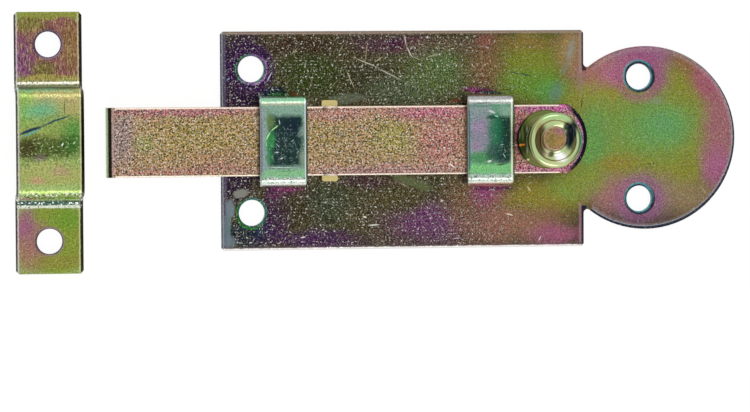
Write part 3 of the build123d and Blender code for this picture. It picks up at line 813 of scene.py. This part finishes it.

# Keeper: rolled strip bent into a hat. One flange shows the strip's long grain, the bridge is
# smoother and pastel with a painted dark reflection across its middle, and the bends carry painted white
# sparkle where they stretched.
keeperLook = {
    "ground": "#92a860",
    "roughest": 0.4, "smoothest": 0.24,
    "relief": 0.22, "reliefDepth": 0.04,
    "waver": {
        "patches": (4.0, 2.0), "marks": (2.0, 0.8), "curls": (0.9, 0.9), "scratchesAndReflections": (4.0, 0.6),
        "bands": (0.9, 0.3),
    },
    "grainSize": 0.34,     # coarser than it is, as on the plate
    "grainDark": 0.66, "grainLight": 1.36, "grainHue": 0.45,
    # from y, to y, softness, strength: the flange with the long grain, and the bridge's painted dark
    # reflection, which gets specks
    "flange": (13.5, 28.5, 1.0, 0.7),
    "darkReflection": (-5.5, 1.5, 2.0, 0.9),
    # the grain's colour, turn, length, width, share
    "grain": [("#c0ac74", 90, 1.3, 0.2, 0.12), ("#3c2420", 90, 1.1, 0.2, 0.14)],
    # where the bends get painted sparkle: from y, to y, softness, strength
    "bends": [(12.9, 14.0, 0.4, 1.0), (-12.6, -11.0, 0.4, 1.0), (-14.8, -13.1, 0.4, 1.0)],
    # the film's colours; the dark patches across the bridge's middle are in part a painted dark
    # reflection
    "patches": [
        ("#8c5a5c", -98.9, 21.6, 10.2, 7.8, 0, 0.1, 1),
        ("#84507c", -104.7, 18.3, 2.5, 4.6, 0, 0.7, 0.9),
        ("#7a7a34", -103.4, 26.9, 3.7, 1.8, 0, 0.5, 0.85),
        ("#8c6c44", -93.7, 22.1, 2.1, 5.9, 0, 0.5, 0.85),
        ("#747438", -100, 16.6, 2.8, 1.8, 0, 0.6, 0.8),
        ("#8c9440", -98.9, 29, 8.3, 0.9, 0, 0.4, 0.9),
        ("#aca454", -98.8, 14.6, 8.3, 0.7, 0, 0.4, 0.9),
        ("#a4a45c", -99.1, 6.4, 10.2, 6.4, 0, 0.2, 1),
        ("#84d0a4", -99.2, 12.4, 9.3, 0.6, 0, 0.4, 0.9),
        ("#b4ac78", -98, 10.4, 6, 1.6, 0, 0.8, 0.85),
        ("#88b45c", -104.9, 7.6, 2.3, 4.6, 0, 0.8, 0.85),
        ("#64b48c", -100.9, 7.2, 3.5, 2.1, 0, 0.9, 0.8),
        ("#b0a870", -93.8, 9.1, 2.1, 3.7, 0, 0.8, 0.8),
        ("#84a054", -97.8, 3.7, 6.9, 2.3, 0, 0.8, 0.8),
        ("#4c8c40", -93.7, 2.8, 2.3, 2.7, 0, 0.8, 0.8),
        ("#50602c", -100.2, -0.8, 6.9, 2.7, 0, 0.4, 0.95),
        ("#443c20", -104.4, -1.3, 2.1, 2.1, 0, 0.5, 0.8),
        ("#38682c", -94.1, -0.1, 2.3, 2.1, 0, 0.8, 0.85),
        ("#806070", -101.5, -3.3, 1.2, 0.9, 0, 0.8, 0.6),
        ("#a4aa64", -99, -6.9, 9.3, 2.7, 0, 0.3, 0.95),
        ("#bc9878", -102.1, -8.2, 1.6, 1.1, 0, 0.6, 0.8),
        ("#b89c7c", -96.8, -6.4, 1.9, 1.1, 0, 0.6, 0.7),
        ("#a0b870", -99, -9.8, 9.3, 0.9, 0, 0.6, 0.8),
        ("#84943c", -98.5, -21.8, 10.2, 7.8, 0, 0.1, 1),
        ("#9c5c80", -104.6, -19.2, 2.1, 4.1, 0, 0.8, 0.9),
        ("#a07068", -103.4, -25, 3.2, 3.7, 0, 0.8, 0.85),
        ("#9c6c70", -101.2, -21.4, 2.3, 3.7, 0, 0.6, 0.7),
        ("#6c9434", -94.9, -17.3, 3.7, 2.3, 0, 0.6, 0.8),
        ("#8c8840", -97.3, -26.8, 5.6, 1.6, 0, 0.5, 0.8),
    ],
    # round the holes: painted highlight rings on the lips, and dark rings inside painted as the hole
    # walls' shade
    "rims": [
        ("#b8a0c8", -99.1, 22.3, 3.1, 3.35, 0.15, 0.85),
        ("#241c34", -99.1, 22.3, 2.6, 3.0, 0.15, 0.8),
        ("#d0b0c0", -99.1, -22.3, 3.1, 3.35, 0.15, 0.85),
        ("#241c34", -99.1, -22.3, 2.6, 3.0, 0.15, 0.8),
    ],
    # painted shade and painted highlight lines along the strip's two long edges, and painted highlights
    # and shade across the bends
    "bands": [
        ("#2c2838", -107.0, -106.4, -30, 30, 0.15, 0.8),
        ("#e8dce4", -106.35, -106.05, -29.4, 29.4, 0.15, 0.75),
        ("#e8dcb0", -92.5, -92.2, -29.4, 29.4, 0.2, 0.6),
        ("#161814", -92.15, -91.2, -29.4, 29.4, 0.2, 0.92),
        ("#fcf8e8", -106.2, -92.4, 13.1, 13.8, 0.3, 0.75),
        ("#203c10", -106.2, -92.0, 12.5, 12.9, 0.3, 0.85),
        ("#f0f8ec", -106.6, -91.6, -13.0, -12.6, 0.2, 0.85),
        ("#16424c", -106.4, -92.2, -14.0, -13.2, 0.3, 0.9),
        ("#f4fcec", -106.4, -92.0, -14.7, -14.1, 0.25, 0.8),
    ],
    "marks": [
        ("#e4e4b4", 1.1, 0.36, 0.28, 0.4, 0.6),
        ("#ccd0a0", 1.8, 1.5, 0.16, 0.45, 0.4),
    ],
    "curls": [
        ("#141c0c", 0.7, 0.6, 0.3, 0.9, 1.0),
        ("#dce8b8", 0.9, 0.9, 0.18, 0.8, 1.0),
    ],
    "sparkle": [
        ("#0c2c28", 0.56, 0.6, 0.34, 0.95, 1.0),
        ("#ffffff", 0.62, 0.6, 0.34, 0.95, 1.0),
    ],
    "scratchesAndReflections": [
        ("#142c54", -106.9, 1.8, -100, 4.3, 0.8, 0.95),
        ("#14405c", -101.3, 3.9, -94, 6.5, 0.5, 0.9),
        ("#34b4c4", -105.8, 1.4, -100.9, 3.4, 0.5, 0.6),
        ("#204438", -95.8, 10.4, -95.9, 5.9, 0.26, 0.8),
        ("#fcfcf4", -96.6, -0.6, -96.2, 0.3, 0.34, 0.9),
        ("#6c7c3c", -96.7, -26.6, -93.9, -26.8, 0.3, 0.7),
    ],
}


def keeperFinish():
    look = keeperLook
    waver = look["waver"]
    finish, tree, shader, place = newFinish("yellow passivated zinc, rolled strip")
    loose = wander(tree, place, *waver["patches"])
    colour = stain(tree, loose, fromHex(look["ground"]), look["patches"])
    along = addNode(tree, "SeparateXYZ", {0: place}).outputs["Y"]
    flange = between(tree, along, *look["flange"])
    colour = streaks(tree, place, colour, look["grain"], flange)
    relief, colour = speckle(tree, place, colour, look)
    colour = strokes(tree, wander(tree, place, *waver["marks"]), colour, look["marks"])
    darkReflection = between(tree, along, *look["darkReflection"])
    colour = strokes(tree, wander(tree, place, *waver["curls"]), colour, look["curls"], darkReflection)
    colour = scratchesAndPaintedLight(tree, wander(tree, place, *waver["scratchesAndReflections"]), colour, look["scratchesAndReflections"])
    colour = rim(tree, place, colour, look["rims"])
    colour = panel(tree, wander(tree, place, *waver["bands"]), colour, look["bands"])
    for bend in look["bends"]:
        bent = between(tree, along, *bend)
        colour = strokes(tree, place, colour, look["sparkle"], bent)
    settle(tree, shader, colour, relief, look)
    return finish


dress("keeper", keeperFinish())
print("keeper finished")

# Knob: turned steel, so its film runs in fine rings round the axis, golden to green
knobLow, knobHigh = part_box("knob")
knobAxis = (knobLow + knobHigh) / 2
knobLook = {
    "ground": "#b8c890",
    "roughest": 0.2, "smoothest": 0.1,
    "relief": 0.12, "reliefDepth": 0.03,
    "waver": {"patches": (2.0, 0.6)},
    "grooveWidth": 0.22,                     # what the lathe's tool leaves
    "grooveFrom": 0.35, "grooveTo": 0.65,    # depths between which a groove gets lighter
    "grooveDark": 0.8, "grooveLight": 1.1,
    "steps": 128,
    # the section's corners: radius, height, and the length of both sides that is rounded off
    "section": [
        (2.2, 0.0, 0.0), (6.7, 0.0, 0.25), (6.7, 2.0, 0.7), (6.1, 2.7, 0.7), (4.95, 3.8, 0.5),
        (4.85, 7.9, 1.4), (5.8, 9.9, 0.7), (6.35, 11.1, 0.8), (6.35, 12.7, 0.6),
        (5.95, 13.45, 0.5), (5.5, 13.7, 0.5), (4.75, 13.7, 0.2), (4.5, 13.3, 0.2),
        (3.3, 12.5, 0.4), (2.2, 12.4, 0.0),
    ],
    "roundSegments": 6,
    # colour, from radius, to radius, softness, strength, on the head
    "rings": [
        ("#b09c50", 4.35, 4.75, 0.2, 0.5),
        ("#7c8440", 5.9, 6.4, 0.2, 0.7),
    ],
    # painted reflections on the head: bright green to the north, light green at the east edge, pale to
    # the south, a golden-brown west crescent and dark crescents to the east, a dark blob and a beige
    # patch, and a painted white highlight in the dish
    "patches": [
        ("#a8d090", 14.5, 5.5, 4.2, 1.1, 0, 0.6, 0.7),
        ("#74c4a0", 20, -0.9, 0.6, 4.6, 0, 0.5, 0.8),
        ("#d4d8a0", 13.3, -5.8, 4.2, 0.9, 0, 0.6, 0.6),
        ("#a08c58", 10.8, 0.6, 1.3, 3.4, 8, 0.35, 0.85),
        ("#101c30", 17.7, 1.4, 1.1, 3.2, -12, 0.3, 0.95),
        ("#0c1020", 16.8, 3.2, 0.9, 1.1, -40, 0.4, 0.9),
        ("#38402c", 13.1, -3.1, 0.9, 0.6, 20, 0.4, 0.85),
        ("#d8c8a0", 11.8, -2.8, 0.8, 0.8, 0, 0.5, 0.8),
        ("#ffffff", 15.4, -3.8, 1.3, 1, -10, 0.5, 0.95),
    ],
    # painted reflections: golden and dark streaks across the west side of the dish, a blue-grey line in
    # the east
    "headReflections": [
        ("#c89c4c", 10.4, 2.2, 10.3, -1.5, 0.28, 0.9),
        ("#a8844c", 11, 1.9, 11.1, -1.7, 0.22, 0.8),
        ("#1c2410", 10.7, 2.8, 10.8, -2.1, 0.3, 0.8),
        ("#7c9cbc", 18.2, 2.8, 18.4, -0.9, 0.24, 0.5),
    ],
    # below the head: from z, to z, softness, strength
    "low": (0.0, 16.0, 1.0, 0.95),
    # below the head the colour is a darker olive, painted as shade, with painted dark shade on the
    # flange's west side and painted streaks of reflection and highlight on it
    "lowShadedColour": "#6c7438",
    "lowShadeAndReflections": [
        ("#20280f", 7.9, 4.9, 8.1, -5.1, 9, 0.9),
        ("#f08c3c", 7.4, -1.4, 9, -1.1, 0.6, 0.95),
        ("#e8e4c0", 9.2, -4.9, 10.2, -4.5, 0.6, 0.9),
        ("#5c8c40", 7.5, 2.6, 7.5, -2.4, 0.5, 0.7),
        ("#70a048", 8.5, 3.1, 8.4, -0.6, 0.5, 0.6),
        ("#a06c80", 7.9, 2.9, 7.9, -0.1, 0.36, 0.6),
        ("#a8b0a0", 9.4, 3.5, 9.5, -3.8, 0.5, 0.7),
    ],
}


def knobFinish():
    look = knobLook
    finish, tree, shader, place = newFinish("yellow passivated zinc, turned")
    local = addNode(tree, "VectorMath", {0: place, 1: (knobAxis.x / mm, knobAxis.y / mm, 0)},
                    operation="SUBTRACT").outputs[0]
    parts = addNode(tree, "SeparateXYZ", {0: local}).outputs
    flat = addNode(tree, "CombineXYZ", {"X": parts["X"], "Y": parts["Y"]}).outputs[0]
    radius = addNode(tree, "VectorMath", {0: flat}, operation="LENGTH").outputs["Value"]
    ring = addNode(tree, "CombineXYZ", {"X": radius, "Y": parts["Z"]}).outputs[0]
    grooves = addNode(tree, "TexNoise", {
        "Vector": ring, "Scale": 1 / look["grooveWidth"], "Detail": 1.0}).outputs[0]
    colour = fromHex(look["ground"])
    for code, start, end, softness, strength in look["rings"]:
        mask = between(tree, radius, start, end, softness, strength)
        colour = addNode(tree, "Mix", {0: mask, 6: colour, 7: fromHex(code)}, data_type="RGBA").outputs[2]
    loose = wander(tree, place, *look["waver"]["patches"])
    colour = stain(tree, loose, colour, look["patches"])
    colour = scratchesAndPaintedLight(tree, place, colour, look["headReflections"])
    low = between(tree, parts["Z"], *look["low"])
    colour = addNode(tree, "Mix", {0: low, 6: colour, 7: fromHex(look["lowShadedColour"])},
                     data_type="RGBA").outputs[2]
    marked = scratchesAndPaintedLight(tree, place, colour, look["lowShadeAndReflections"])
    colour = addNode(tree, "Mix", {0: low, 6: colour, 7: marked}, data_type="RGBA").outputs[2]
    tint = addNode(tree, "MapRange", {
        "Value": grooves, "From Min": look["grooveFrom"], "From Max": look["grooveTo"],
        "To Min": look["grooveDark"], "To Max": look["grooveLight"]}).outputs[0]
    colour = addNode(tree, "Mix", {0: 1.0, 6: colour, 7: tint}, data_type="RGBA",
                     blend_type="MULTIPLY").outputs[2]
    settle(tree, shader, colour, grooves, look)
    return finish


def buildKnob():
    look = knobLook
    form = bmesh.new()
    corners = [form.verts.new((knobAxis.x + radius * mm, 0, knobLow.z + height * mm))
               for radius, height, rounding in look["section"]]
    for here, after in zip(corners, corners[1:] + corners[:1]):
        form.edges.new((here, after))
    for corner, (radius, height, rounding) in zip(corners, look["section"]):
        if rounding:
            bmesh.ops.bevel(form, geom=[corner], offset=rounding * mm / 2, affect="VERTICES",
                            segments=look["roundSegments"], profile=0.5, material=-1)
    bmesh.ops.spin(form, geom=form.verts[:] + form.edges[:], cent=knobAxis, axis=(0, 0, 1),
                   angle=radians(360), steps=look["steps"], use_merge=True)
    bmesh.ops.recalc_face_normals(form, faces=form.faces)
    for face in form.faces:
        face.smooth = True
    data = bpy.data.meshes.new("turned knob")
    form.to_mesh(data)
    form.free()
    knob = bpy.data.objects.new("turned_knob", data)
    bpy.context.scene.collection.objects.link(knob)
    knob.data.materials.append(knobFinish())
    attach(knob, "bar")
    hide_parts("knob")


buildKnob()
print("knob turned")

# Rivet: its cold-headed end is left matt and speckled
rivetLook = {
    "ground": "#a08458",
    "roughest": 0.55, "smoothest": 0.4,
    "relief": 0.3, "reliefDepth": 0.04,
    "waver": {"patches": (1.5, 0.8)},
    "grainSize": 0.3,      # coarser than it is, as on the plate
    "grainDark": 0.65, "grainLight": 1.4, "grainHue": 0.4,
    "patches": [
        ("#b07484", 15.5, 2.3, 1.4, 0.9, 0, 0.7, 0.8),
        ("#a88868", 12.5, 1.9, 1.2, 0.9, 0, 0.7, 0.6),
        ("#8c7c48", 13.2, -0.1, 1.6, 1.4, 0, 0.6, 0.8),
        ("#ac8850", 15.2, -0.2, 0.9, 0.7, 0, 0.8, 0.6),
    ],
    # a painted highlight round the head's edge
    "rims": [("#e0c0c4", 14.1, 0.45, 2.5, 2.9, 0.15, 0.8)],
}


def rivetFinish():
    look = rivetLook
    finish, tree, shader, place = newFinish("yellow passivated zinc, cold headed")
    loose = wander(tree, place, *look["waver"]["patches"])
    colour = stain(tree, loose, fromHex(look["ground"]), look["patches"])
    relief, colour = speckle(tree, place, colour, look)
    colour = rim(tree, place, colour, look["rims"])
    settle(tree, shader, colour, relief, look)
    return finish


dress("knob_rivet", rivetFinish())
print("rivet finished")
